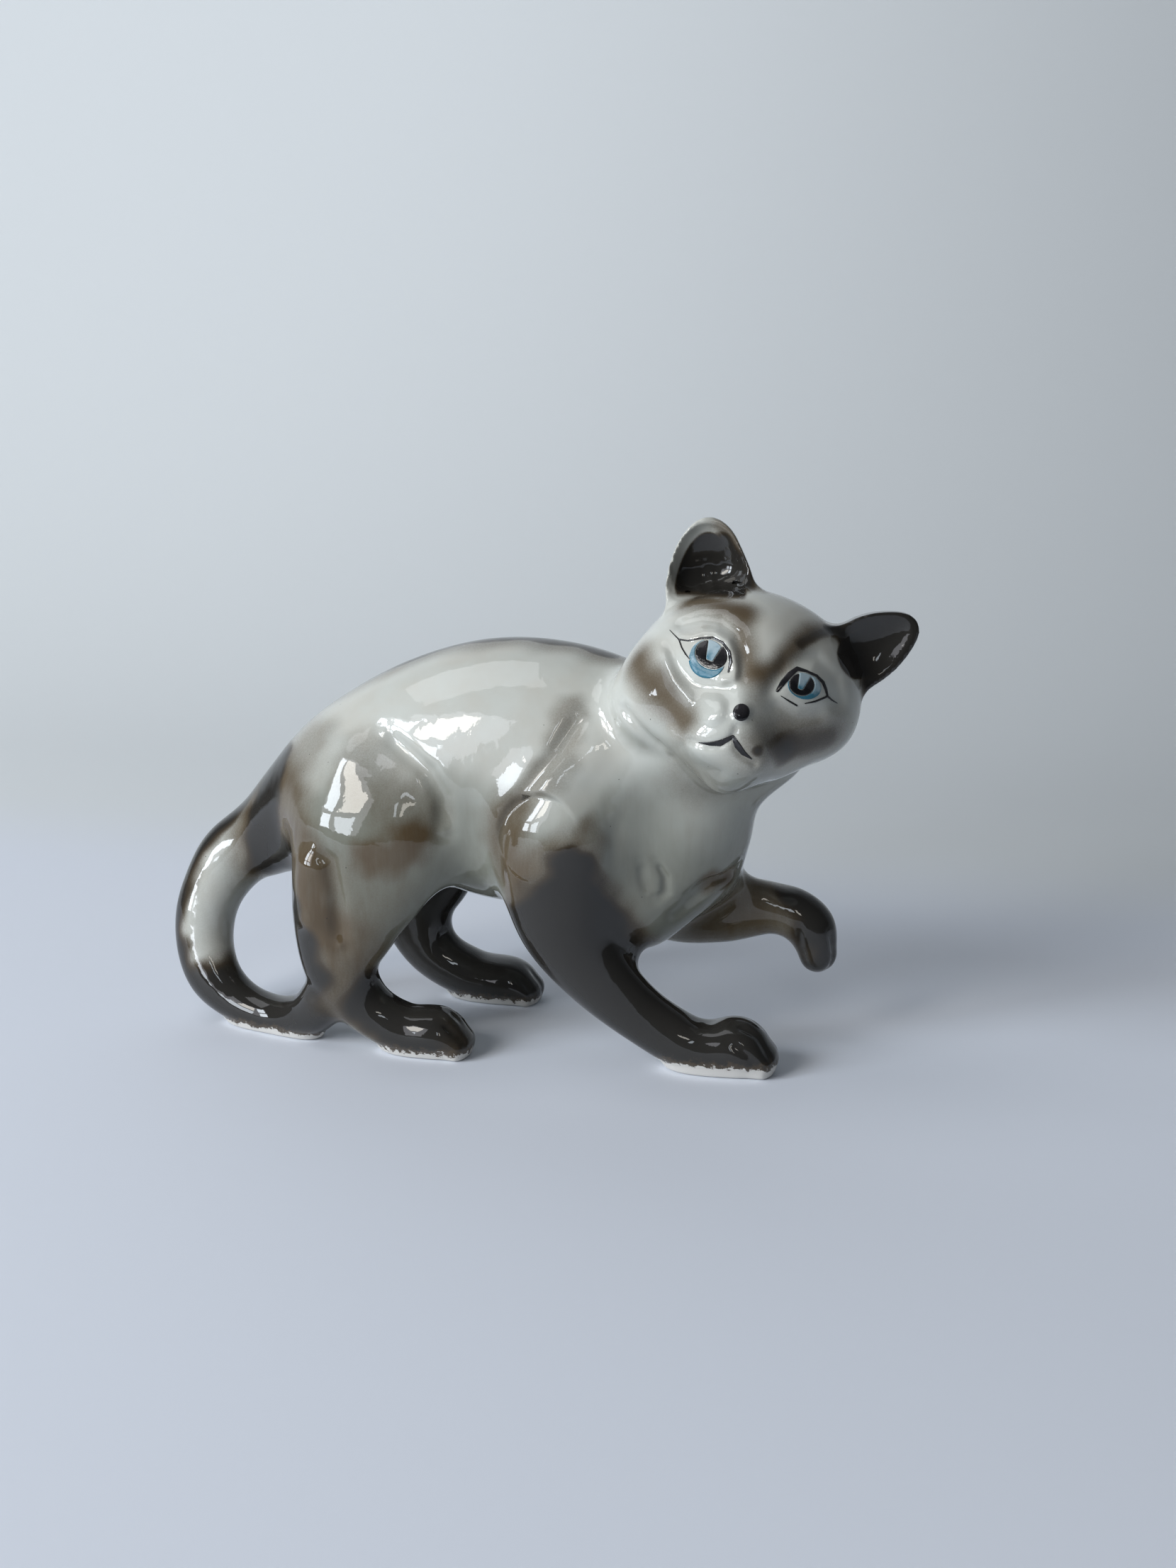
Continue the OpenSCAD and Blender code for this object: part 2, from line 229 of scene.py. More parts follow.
def sweep(stations, sides=200, per=14, caps=12):
    """The field of elliptical rings along stations, closed by rounded ends."""
    table = np.array([[*c, a, b] for c, a, b in stations], float)
    last = len(table) - 1
    u = np.linspace(0, last, last * per + 1)
    rows = spline(table, u)
    ahead = spline(table, np.clip(u + 0.05, 0, last))
    behind = spline(table, np.clip(u - 0.05, 0, last))
    heading = (ahead - behind)[:, :3]
    heading /= np.linalg.norm(heading, axis=1)[:, None]
    centre, across, depth = rows[:, :3], rows[:, 3], rows[:, 4]
    lift = np.radians(np.linspace(0, 88, caps)[1:])
    for end, sign in ((0, -1), (-1, 1)):
        reach = min(across[end], depth[end]) * np.sin(lift)
        tip = centre[end] + sign * reach[:, None] * heading[end]
        parts = [(centre, tip), (across, across[end] * np.cos(lift)),
                 (depth, depth[end] * np.cos(lift)),
                 (heading, np.repeat(heading[end][None], len(lift), 0))]
        centre, across, depth, heading = (
            np.concatenate([q[::-1], p] if sign < 0 else [p, q]) for p, q in parts)
    side = np.array([0.0, 1.0, 0.0]) - heading * heading[:, 1:2]
    side /= np.linalg.norm(side, axis=1)[:, None]
    up = np.cross(heading, side)
    turn = np.linspace(0, 2 * math.pi, sides, endpoint=False)
    rings = (centre[:, None] + (side * across[:, None])[:, None] * np.cos(turn)[:, None]
             + (up * depth[:, None])[:, None] * np.sin(turn)[:, None])
    n = len(rings)
    points = np.concatenate([rings.reshape(-1, 3), rings[:1].mean(1), rings[-1:].mean(1)])
    i, k = np.meshgrid(np.arange(n - 1) * sides, np.arange(sides), indexing="ij")
    l = (k + 1) % sides
    body = np.stack([i + k, i + sides + k, i + sides + l, i + l], -1).reshape(-1, 4)
    ring = np.arange(0, sides, 2)
    a, b, c = ring, (ring + 1) % sides, (ring + 2) % sides
    first, second = n * sides, n * sides + 1
    start = np.stack([a, b, c, np.full_like(a, first)], -1)
    base = (n - 1) * sides
    finish = np.stack([base + c, base + b, base + a, np.full_like(a, second)], -1)
    return level(points, np.concatenate([body, start, finish]))


def add_mass(field, mass, soft=0.0):
    """Joins a tapered lump, the hull of two balls, to a field."""
    a, ra, b, rb = np.array(mass[0], float), mass[1], np.array(mass[2], float), mass[3]
    reach = max(ra, rb) + BAND
    win = window(np.minimum(a, b) - reach, np.maximum(a, b) + reach)
    x, y, z = axes(win)
    way = b - a
    long2 = way @ way
    drop = ra - rb
    slope2 = long2 - drop * drop
    px, py, pz = x - a[0], y - a[1], z - a[2]
    along = px * way[0] + py * way[1] + pz * way[2]
    off = along - long2
    across2 = ((px * long2 - way[0] * along) ** 2 + (py * long2 - way[1] * along) ** 2
               + (pz * long2 - way[2] * along) ** 2)
    ya2, yb2 = along * along * long2, off * off * long2
    key = np.sign(drop) * drop * drop * across2
    end_b = np.sign(off) * slope2 * yb2 > key
    end_a = np.sign(along) * slope2 * ya2 < key
    flank = (np.sqrt(across2 * slope2 / long2) + along * drop) / long2 - ra
    value = np.where(end_b, np.sqrt(across2 + yb2) / long2 - rb,
                     np.where(end_a, np.sqrt(across2 + ya2) / long2 - ra, flank))
    join(field, win, value.astype(np.float32), soft)


def join(field, win, value, soft):
    """Union with a field in a window, rounded over a crease when soft is set."""
    here = field[win]
    field[win] = -soft_max(-here, -value, soft) if soft else np.minimum(here, value)


def add_egg(field, centre, radii, soft=0.0):
    """Joins an ellipsoid that is square to the head's frame."""
    middle = from_head(centre)
    reach = max(radii) + BAND
    win = window(middle - reach, middle + reach)
    p = [(v - c) for v, c in zip(head_axes(win), centre)]
    k0 = np.sqrt(sum((v / r) ** 2 for v, r in zip(p, radii)))
    k1 = np.sqrt(sum((v / (r * r)) ** 2 for v, r in zip(p, radii)))
    value = k0 * (k0 - 1) / np.maximum(k1, 1e-6)
    join(field, win, value.astype(np.float32), soft)


def soft_max(a, b, soft):
    near = np.maximum(soft - np.abs(a - b), 0) / soft
    return np.maximum(a, b) + near * near * (soft / 4)


def smooth_step(value):
    t = np.clip(value, 0, 1)
    return t * t * (3 - 2 * t)


def polygon_distance(corners, x, z):
    """Signed distance of a flat outline, negative inside."""
    loop = corners + corners[:1]
    inside = np.zeros(np.broadcast(x, z).shape, bool)
    for (ax, az), (bx, bz) in zip(loop, loop[1:]):
        crosses = (az > z) != (bz > z)
        inside ^= crosses & (x < ax + (bx - ax) * (z - az) / ((bz - az) or 1e-9))
    return np.where(inside, -1, 1) * line_distance(loop, x, z)


def line_distance(points, *where):
    """Distance to a chain of segments, in as many dimensions as its points have."""
    best = None
    for a, b in zip(points, points[1:] if len(points) > 1 else points):
        way = [q - p for p, q in zip(a, b)]
        off = [w - p for p, w in zip(a, where)]
        long2 = sum(v * v for v in way) or 1.0
        t = np.clip(sum(o * v for o, v in zip(off, way)) / long2, 0, 1)
        d2 = sum((o - v * t) ** 2 for o, v in zip(off, way))
        best = d2 if best is None else np.minimum(best, d2)
    return np.sqrt(best)


def press(field, points, width, depth):
    """Presses a soft groove along a line, or raises a ridge where depth is negative."""
    p = np.array(points, float)
    reach = 3 * width + abs(depth)
    win = window(p.min(0) - reach, p.max(0) + reach)
    d = line_distance(points, *axes(win))
    if np.linalg.norm(np.diff(p, axis=0), axis=1).sum() > 6 * width:
        ends = np.minimum(*(line_distance([end], *axes(win)) for end in (points[0], points[-1])))
        depth = depth * smooth_step(0.2 + ends / (3 * width))
    field[win] += (depth * np.exp(-(d / width) ** 2)).astype(np.float32)


def pare(field, at, heading, radius, reach):
    """Pares a bulge down to a flatter dome of this radius that it meets at one point."""
    way = np.array(heading, float) / np.linalg.norm(heading)
    at = np.array(at, float)
    win = window(at - 2 * reach, at + 2 * reach)
    x, y, z = axes(win)
    mx, my, mz = at - radius * way
    dome = np.sqrt((x - mx) ** 2 + (y - my) ** 2 + (z - mz) ** 2) - radius
    off = np.sqrt((x - at[0]) ** 2 + (y - at[1]) ** 2 + (z - at[2]) ** 2)
    dome = dome - 40 * smooth_step((off - reach) / reach)
    field[win] = soft_max(field[win], dome.astype(np.float32), 2.5)


def rounded(corners):
    """An outline with its corners cut, twice over."""
    for _ in range(2):
        ahead = corners[1:] + corners[:1]
        corners = [((1 - t) * a + t * c, (1 - t) * b + t * d)
                   for (a, b), (c, d) in zip(corners, ahead) for t in (0.25, 0.75)]
    return corners


def ear_field(ear):
    """A leaf of clay with a scooped front and a thick back."""
    corners, radius = ear["corners"], ear["radius"]
    middle = from_head([np.mean([c[0] for c in corners]), 3, np.mean([c[1] for c in corners])])
    win = window(middle - 22, middle + 22)
    x, y, z = head_axes(win)
    edge = polygon_distance(rounded(corners), x, z) - radius
    (x0, z0), (lean_x, lean_z) = corners[0], ear["lean"]
    mid = ear["middle"] + lean_x * (x - x0) + lean_z * (z - z0)
    back_x, back_z, back_y = ear["back"]
    bulge = smooth_step(1 - np.hypot(x - back_x, z - back_z) / 12)
    scoop = ear["scoop"] * smooth_step((0.8 - polygon_distance(rounded(ear["hollow"]), x, z)) / 4)
    back = mid + 1.5 + bulge * (back_y + 3 - mid - 1.5)
    front = np.minimum(mid - 1.6 + scoop, back - 1.4)
    field = blank()
    leaf = soft_max(edge, soft_max(0.85 * (front - y), y - back, 1.4), 1.6)
    field[win] = np.minimum(leaf, BAND)
    return field


def head_field():
    field = blank()
    for centre, radii in HEAD_EGGS:
        add_egg(field, centre, radii, 3)
    for a, ra, b, rb in HEAD_MASSES:
        add_mass(field, (from_head(a), ra, from_head(b), rb), 3)
    return field


def castings():
    """The field of each casting before it is luted to the rest."""
    parts = {"torso": sweep(TRUNK)}
    for mass in TORSO_MASSES:
        add_mass(parts["torso"], mass)
    parts["head"] = head_field()
    for name, ear in EARS.items():
        parts[name] = ear_field(ear)
    for name, stations in LIMBS.items():
        parts[name] = sweep(stations)
    return parts


def luted(parts):
    """The castings joined, with every seam filled."""
    body = fill_creases(parts["torso"], 5)
    for name in LIMBS:
        np.minimum(body, parts[name], out=body)
    body = ironed(fill_creases(body, 3), 2.4, 20)
    np.minimum(body, parts["head"], out=body)
    body = fill_creases(body, 2)
    for name in EARS:
        np.minimum(body, parts[name], out=body)
    return fill_creases(body, 3.2)


def sample(field, points):
    """A field at any points, between the grid's own."""
    q = np.asarray(points) / VOXEL - LOW
    i = np.clip(np.floor(q).astype(int), 0, COUNT - 2)
    t = (q - i).astype(np.float32)
    total = np.zeros(len(q), np.float32)
    for corner in np.ndindex(2, 2, 2):
        share = np.where(corner, t, 1 - t)
        total += share[:, 0] * share[:, 1] * share[:, 2] * field[tuple((i + corner).T)]
    return total


def slope(field, points):
    """The unit outward direction of a field at points near its surface."""
    step = 0.6 * VOXEL
    g = np.stack([sample(field, points + step * e) - sample(field, points - step * e)
                  for e in np.eye(3)], 1)
    return g / np.maximum(np.linalg.norm(g, axis=1), 1e-6)[:, None]


# ---- details pressed into the soft clay ----
# Lines in the modelling axes: points, half width, depth (a ridge where it is negative).
CREASES = [
    ([(-25, -15, 58), (-20, -17, 55), (-16, -18, 52), (-13.5, -18.5, 48), (-13, -19, 42)], 1.5, 1.2),
    ([(-30, -18, 53), (-25, -19.5, 50), (-21, -20.5, 45)], 5, -0.6),  # thigh
    ([(-37, -21, 35), (-37.5, -21, 30), (-37, -21, 26)], 2.4, -1.7),  # hock
    ([(-36, -21.5, 38.5), (-32.5, -22.5, 36.5), (-31.5, -22.3, 30), (-31.5, -21.5, 21)], 1.6, 1.3),
    ([(10, -14, 63), (6.5, -18, 57), (2, -20, 51), (-2.5, -21, 46), (-3.5, -21, 39), (-3, -20, 32)],
     1.3, 1.2),  # shoulder
    ([(12, -16, 57), (7, -19, 52), (3, -21, 45)], 3.5, -0.8),
    ([(10, -19, 45), (11, -18.5, 38), (12, -17, 31)], 5, -1.5),
    ([(16, -17, 47), (16, -17, 41), (14.5, -17, 35)], 1.8, 0.5),
    ([(22.5, -13, 38), (24, -12.3, 35), (24, -12, 32), (22.5, -12.6, 30.5)], 0.8, 0.7),  # chest
    ([(20, -13.8, 38), (20.4, -13.5, 34.5), (21.4, -13, 31.5)], 0.9, 0.6),
    ([(27.5, -9, 31), (31, -7.5, 33.5), (35, -3, 34.5)], 1.4, 1.2),  # armpit
    ([(25.5, -9.5, 27), (28, -9, 29.5), (30, -9, 33)], 1.5, 0.6),
    ([(17, -17, 66), (19.5, -18, 63.5), (22.5, -18.3, 60.5), (26, -18.3, 58)], 1.2, 0.8),  # ruff
    ([(-15, -17.4, 6.4), (-11.5, -17.4, 5), (-9, -16.8, 1.5)], 0.6, 0.6),  # hind toes
    ([(-14.5, -14.4, 8), (-10.5, -14.4, 6), (-7.6, -14.2, 2)], 0.6, 0.6),
    ([(-14.5, -11.4, 8), (-10.5, -11.6, 6), (-8.4, -11.6, 2)], 0.6, 0.5),
    ([(-18.5, -15, 8), (-15.5, -14.6, 8)], 3, -0.6),
    ([(36.5, -12.5, 9.3), (40.5, -12.5, 7.8), (43.4, -13, 3.5)], 0.7, 0.6),  # fore toes
    ([(38.5, -8.6, 9.4), (42.4, -8.2, 7.6), (44.6, -8.2, 3.5)], 0.7, 0.6),
    ([(36, -15.2, 7), (39.4, -15.4, 4.8), (41, -15.2, 2.5)], 0.7, 0.4),
    ([(30.5, -10.5, 9.2), (31.5, -10.3, 9)], 2.4, 0.7),  # wrist
    ([(36, -10.5, 9.2), (38, -10, 9.2)], 3, -0.5),
    ([(44.5, 5.6, 22), (44.6, 5.6, 18), (46, 6.2, 14)], 0.7, 0.5),  # raised toes
    ([(49.5, 7.5, 21), (50.4, 8.2, 17), (49.5, 8.4, 13.5)], 0.7, 0.4),
    ([(41, 10, 29), (42, 6, 28)], 1.8, 0.5),
    ([(-8, 16.5, 7), (-5.4, 16.5, 3), (-5.2, 16.5, 1)], 0.7, 0.4),  # far toes
    ([(-9, 12.8, 6), (-6.6, 12.8, 3), (-6.4, 12.8, 1)], 0.7, 0.4)]
# Bulges pared flatter: a point, its outward direction, the dome's radius, its reach.
FLATS = [((4, -22, 42.5), (-0.16, -0.93, 0.33), 50, 7)]
# Lines on the face, in the head's frame (x, z): points, half width, depth.
FACE_LINES = [
    ([(-13.8, 7), (-11, 9), (-8.2, 9.8), (-5, 8.9), (-2.8, 6.4), (-1.8, 3.4)], 1.1, 0.6),
    ([(-13.6, 5.6), (-11.8, 6.2), (-10.2, 7.5), (-8.4, 8.1), (-6, 7.6), (-4.4, 6), (-3.2, 4),
      (-3, 2.6), (-4.6, 1.6)], 0.7, -0.5),
    ([(-14.4, 3.2), (-12, 1), (-9, -0.6), (-5.6, -0.6), (-3.2, 0.6)], 1.2, 0.5),
    ([(-15, 1.6), (-12, -1.4), (-8.6, -3.2)], 1.1, -0.65),
    ([(3.2, 2.6), (4, 7.4), (8.4, 9.4), (12.4, 7.4), (14.4, 4)], 1.3, 0.5),
    ([(5, 0.6), (8.6, -0.2), (11.6, 1)], 1.4, 0.35),
    ([(0, -4.4), (0, -6)], 0.6, 0.35),  # below the nose
    ([(-6, -9), (-3.1, -8.7), (-1.6, -8), (0, -6.3), (1.2, -7.4), (2.4, -8.2), (4.6, -8.8)],
     0.7, 0.45),  # mouth
    ([(-7, -11), (-4, -12.2), (0, -12.4)], 1.2, 0.3)]
FACE_BUMPS = [([(-7.8, 4.2)], 4.2, -0.5), ([(8, 4.6)], 3.8, -0.45), ([(-0.1, -1.8)], 1.5, -0.5),
              ([(-4.8, -3)], 2.4, -0.9), ([(4, -4.6)], 2.8, -0.3)]


def press_face(field):
    """The sockets, eyeballs, nose and mouth, pressed into the front of the head."""
    middle = from_head((0, -8, 0))
    win = window(middle - 26, middle + 26)
    x, y, z = head_axes(win)
    front = smooth_step(-(y + 2) / 4)
    change = np.zeros(x.shape, np.float32)
    for marks, power in ((FACE_LINES, 2), (FACE_BUMPS, 4)):
        for points, width, depth in marks:
            change += depth * np.exp(-(line_distance(points, x, z) / width) ** power)
    field[win] += change * front


def detailed(field):
    for at, heading, radius, reach in FLATS:
        pare(field, at, heading, radius, reach)
    for points, width, depth in CREASES:
        press(field, points, width, depth)
    press_face(field)
    return field


# ---- from the field to the pieces ----
NAMES = ["torso", "head", *EARS, *LIMBS]
SLOTS = {"torso": "pale_glaze", "head": "pale_glaze", "right_ear": "ear_glaze",
         "left_ear": "ear_glaze"}      # the limbs are dark_glaze


def share_out(parts, points, quads):
    """The nearest casting of each face, with the borders between castings evened out."""
    far = np.stack([sample(parts[n], points) for n in NAMES], 1)
    owner = far[quads].mean(1).argmin(1)
    for _ in range(3):
        votes = np.zeros((len(points), len(NAMES)), np.int32)
        for k in range(4):
            np.add.at(votes, (quads[:, k], owner), 1)
        owner = votes[quads].sum(1).argmax(1)
    return owner


def edges_of(quads):
    return np.concatenate([quads[:, [k, (k + 1) % 4]] for k in range(4)])


def borders(quads, owner):
    """The edges along which two castings meet."""
    edges = edges_of(quads)
    faces = np.tile(np.arange(len(quads)), 4)
    edges.sort(axis=1)
    order = np.lexsort((edges[:, 1], edges[:, 0]))
    edges, faces = edges[order], faces[order]
    pair = np.flatnonzero((edges[1:] == edges[:-1]).all(1))
    split = owner[faces[pair]] != owner[faces[pair + 1]]
    return edges[pair[split]]


def even_borders(field, points, quads, owner):
    """Smooths the border lines and puts them back on the skin."""
    line = borders(quads, owner)
    ends = np.unique(line)
    for _ in range(4):
        total = np.zeros_like(points)
        count = np.zeros(len(points))
        for a, b in ((0, 1), (1, 0)):
            np.add.at(total, line[:, a], points[line[:, b]])
            np.add.at(count, line[:, a], 1)
        two = ends[count[ends] == 2]
        points[two] = 0.5 * points[two] + 0.5 * total[two] / 2
        points[ends] -= sample(field, points[ends])[:, None] * slope(field, points[ends])
    return points


def cap(faces, points):
    """Closes a piece: a fan from the middle of each open border."""
    edges = edges_of(faces)
    keys = edges.min(1) * (len(points) + 1) + edges.max(1)
    _, index, count = np.unique(keys, return_index=True, return_counts=True)
    open_edges = edges[index[count == 1]]
    group = {v: v for v in np.unique(open_edges).tolist()}

    def root(v):
        while group[v] != v:
            group[v] = group[group[v]]
            v = group[v]
        return v

    for a, b in open_edges.tolist():
        group[root(a)] = root(b)
    roots = np.array([root(a) for a in open_edges[:, 0].tolist()], int)
    fans, middles = [], []
    for r in np.unique(roots):
        loop = open_edges[roots == r]
        middles.append(points[loop[:, 0]].mean(0))
        tip = np.full(len(loop), len(points) + len(middles) - 1)
        fans.append(np.stack([loop[:, 1], loop[:, 0], tip], 1))
    return np.concatenate(fans), np.array(middles)


def mesh_piece(name, points, faces, material):
    """A smooth object from points in metres."""
    mesh = bpy.data.meshes.new(name)
    mesh.from_pydata(points, [], faces)
    mesh.update()
    mesh.polygons.foreach_set("use_smooth", np.ones(len(mesh.polygons), bool))
    mesh.materials.append(material)
    piece = bpy.data.objects.new(name, mesh)
    bpy.context.collection.objects.link(piece)
    return piece


def build(name, points, faces, masks, material, normals=None):
    """A piece from points in the modelling axes, with the glaze's three masks on them."""
    piece = mesh_piece(name, (points + SHIFT) * MM, faces, material)
    if normals is not None:
        piece.data.normals_split_custom_set_from_vertices(normals)
    layer = piece.data.attributes.new("glaze", "FLOAT_COLOR", "POINT")
    rgba = np.column_stack([masks, np.ones(len(masks))])
    layer.data.foreach_set("color", rgba.astype(np.float32).ravel())
    return piece


def hand_over(piece, node):
    """The piece rides with the cat and stands in for its CAD node, which is hidden."""
    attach(piece, "root")
    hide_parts(node)


# ---- airbrushed glaze colours, and some painted shade: points, radius, strength ----
# Lines in the modelling axes. The BOTH lines are on the far side too.
BOTH_BROWN = [
    ([(-50, -5, 47), (-45, -9, 50), (-40, -11, 53)], 7, 0.5),
    ([(-51, -7, 45), (-51, -9, 38), (-49, -8, 30)], 8, 0.9),
    ([(-25, -23, 38), (-21, -22, 38), (-18, -21, 41)], 3.6, 0.9),
    ([(-47, -12, 46), (-43, -16, 43), (-40, -18, 39)], 7, 0.85),
    ([(-28, -18, 53), (-23, -20, 48), (-18, -20, 45)], 6, 0.4)]
BROWN = [
    ([(14, 0, 70), (0, 0, 72), (-12, 0, 72), (-22, 0, 68), (-34, 0, 60), (-44, 0, 52)], 5, 0.6),
    ([(-36, -22, 34), (-37, -22, 29), (-35, -22, 24)], 5, 0.9),
    ([(-33, -21, 20), (-36, -19, 13), (-43, -15, 7), (-50, -12, 5)], 9, 0.75),
    ([(-26, -22, 32), (-28, -21, 22), (-30, -20, 17)], 9, 0.3),
    ([(8, -15, 63), (7, -18, 55), (3, -20, 51)], 3.5, 0.5),
    ([(-1, -20, 46), (-2, -21, 42), (-1, -22, 37), (0, -21, 32)], 4.4, 0.8),
    ([(11.5, -18, 45), (12.5, -17, 42), (11.5, -17, 38)], 2.6, 0.6),
    ([(3, -22, 36), (8, -21, 39), (10, -20, 40)], 5, 0.75),
    ([(28, 7, 24), (34, 9, 25), (40, 10, 25), (44, 10, 25)], 9, 0.82),
    # Painted shade in the armpit crease, between the chest and the raised foreleg.
    ([(31.5, -8, 33.5), (33, -5, 33)], 2.5, 0.9),
    ([(31, -20, 57), (30, -16, 53), (34, -17, 54)], 6, 0.3),
    ([(-57, -6, 38), (-61, -6, 31), (-64, -7, 22), (-62, -8, 12)], 5, 0.15)]
BOTH_BLACK = [
    ([(-49, -6, 49), (-49, -9, 44), (-50, -9, 37), (-50, -8, 30)], 5.6, 0.9)]
BLACK = [
    ([(12, 0, 71), (0, 0, 73), (-12, 0, 73), (-22, 0, 69), (-34, 0, 61), (-44, 0, 53)], 2.6, 0.7),
    ([(-45, -13, 33), (-42, -18, 28), (-40, -19, 22), (-38, -18, 16)], 5, 0.9),
    ([(-39, -17, 13), (-40, -16, 9), (-43, -14, 6), (-50, -11, 4)], 7, 0.7),
    ([(-27, -17, 10), (-24, -16, 8), (-20, -16, 5)], 6.6, 1),
    ([(-18, -16, 5), (-12, -15, 3)], 7, 0.72),
    ([(-54, 2, 44), (-59, 0, 39), (-65, -1, 33), (-69, -2, 24), (-70, -4, 15), (-66, -7, 6),
      (-59, -9, 2)], 6, 1),
    ([(-58, -9, 5), (-49, -10, 3), (-42, -12, 4)], 8, 0.97),
    ([(-24, 14, 27), (-28, 14, 20), (-29, 15, 13), (-24, 16, 7), (-15, 16, 4), (-8, 16, 4)],
     13, 0.93),
    ([(9.5, -20.5, 38), (9.5, -20.5, 34), (12, -17.5, 28)], 4.6, 0.95),
    ([(8, -18, 29), (12, -16, 22), (18, -13, 14), (24, -12, 9)], 9, 1),
    ([(4, -20, 25), (8, -17, 17), (14, -14, 10)], 8, 1),
    ([(27, -11, 7), (34, -10, 5), (42, -9, 4)], 12, 1),
    ([(47, 9, 26), (48, 9, 23), (49, 10, 15)], 6.5, 1),
    # Painted shade in the crease across the top of the raised foreleg.
    ([(41, 8, 29), (44, 8, 28)], 2.5, 0.6)]
# Lines in the head's frame.
HEAD_BROWN = [
    ([(-18.5, -5, -1), (-16, -8, -3), (-13.5, -9, -4.4), (-10.5, -11, -5.4), (-8, -14, -6.6)],
     3.2, 0.9),
    ([(-14, -10, -1.6), (-11.6, -11, -2.6)], 2, 0.6),
    ([(-14, -2, 11), (-11, -4, 12), (-8, -6, 12.4), (-5, -7, 12.4)], 2.6, 0.95),
    ([(-5, -7, 12.4), (-4, -10, 9.6), (-2.6, -12, 7.2), (-0.6, -14, 4.4)], 1.9, 0.85),
    ([(9, -1, 14), (6, -6, 13), (4.6, -10, 10.5), (3.2, -12.4, 7), (1.2, -14, 4.6)], 1.9, 0.92),
    ([(0, -15, 4), (1, -15, 1)], 2, 0.5),
    ([(4, -16, -6), (7, -13, -4.4), (12, -10, -3), (15.6, -8, -1.8)], 4.4, 0.75),
    ([(-13, 3, 23.6), (-9, 3, 21), (-6.4, 3, 18), (-4.4, 2, 14)], 2.4, 0.9)]
HEAD_BLACK = [
    ([(-12, 5, 22), (-8.6, 5, 18.6), (-5.6, 5, 15)], 2, 0.95),
    ([(9, -2, 14), (6.8, -6, 12.8), (5.2, -9, 10.8)], 1.4, 0.68),
    ([(10.4, 0, 14.6), (9, -1, 14.4)], 1.2, 0.8),
    ([(11.6, 0, 13.6), (13, -1, 12), (14.6, 0, 10.8)], 2.2, 0.8),
    ([(-13, -1, 11.6), (-10.5, -2, 12.6)], 1.6, 0.6),
    ([(9.4, -12.5, -4.6), (12, -11, -3.8), (15, -8.5, -2.4)], 4, 0.6),
    ([(4.6, -15.5, -6), (8, -12.5, -5.8)], 2.6, 0.55),
    ([(4.3, -17.6, -6.8)], 1, 0.7),
    ([(-9, 2, 19.4), (-7, 2, 17), (-6.2, 2, 15.4)], 2.4, 1),
    ([(13, 2, 17), (17, 3, 19.4), (21.4, 4, 20), (23, 4, 17), (21, 4, 12), (18, 3, 8)], 3.4, 1)]
# Grey-green, partly where the glaze pools in the hollows and partly painted shade on the lower
# flank, the thigh, the chest and under the raised foreleg.
SHADE = [
    ([(-13, -18, 42), (-8, -18, 40), (-3, -20, 38)], 10, 0.7),
    ([(-29, -22, 40), (-27, -22, 35), (-24, -21, 28)], 12, 0.9),
    ([(18, -15, 42), (22, -13, 36), (27, -10, 28)], 10, 0.65),
    ([(24, 4, 24), (34, 8, 20)], 8, 0.8)]


def wandering(points, reach):
    """The points moved a little each way, so that a sprayed edge is never quite even."""
    x, y, z = np.asarray(points, float).T
    return np.stack([x + reach * np.sin(0.9 * y + 0.5 * z + 1.0) * np.cos(0.35 * x + 0.6 * z),
                     y + reach * np.sin(0.7 * z - 0.6 * x + 2.0),
                     z + reach * np.sin(0.8 * x + 0.4 * y) * np.cos(0.5 * x - 0.9 * z)], 1)


def sprayed(lines, points, full=0.45, end=1.45, wander=0.6):
    """How much of a colour its airbrush lines leave at each point, from 0 to 1.
    The cover is whole out to `full` radii from a line and gone at `end` radii."""
    bare = np.ones(len(points))
    where = wandering(points, wander).T
    for line, radius, strength in lines:
        far = line_distance(line, *where) / radius
        bare *= 1 - strength * smooth_step((end - far) / (end - full))
    return 1 - bare


def both_sides(lines):
    """The lines, and the same lines on the far side of the body."""
    return lines + [([(x, -y, z) for x, y, z in line], r, s) for line, r, s in lines]


def layered(*covers):
    """The whole cover of several part covers, one over the other."""
    return 1 - math.prod(1 - cover for cover in covers)


def ear_paint(ear, points, normals, on_ear):
    """Black in an ear's hollow, up to its rim, and as much of it as the ear has on its back."""
    x, y, z = to_head(points).T
    (x0, z0), (lean_x, lean_z) = ear["corners"][0], ear["lean"]
    front = y < ear["middle"] + lean_x * (x - x0) + lean_z * (z - z0) + 3.4
    front = front * smooth_step((0.45 - (normals @ HEAD_TURN)[:, 1]) / 0.3)
    inside = smooth_step((0.5 - polygon_distance(rounded(ear["hollow"]), x, z)) / 0.9)
    foot, over, tilt = ear["fade"]
    height = z - foot - tilt * (x + 15)
    behind = ear["behind"] * smooth_step((height - 1) / 5) * on_ear * (1 - front)
    return np.maximum(inside * smooth_step(height / over) * front, behind)


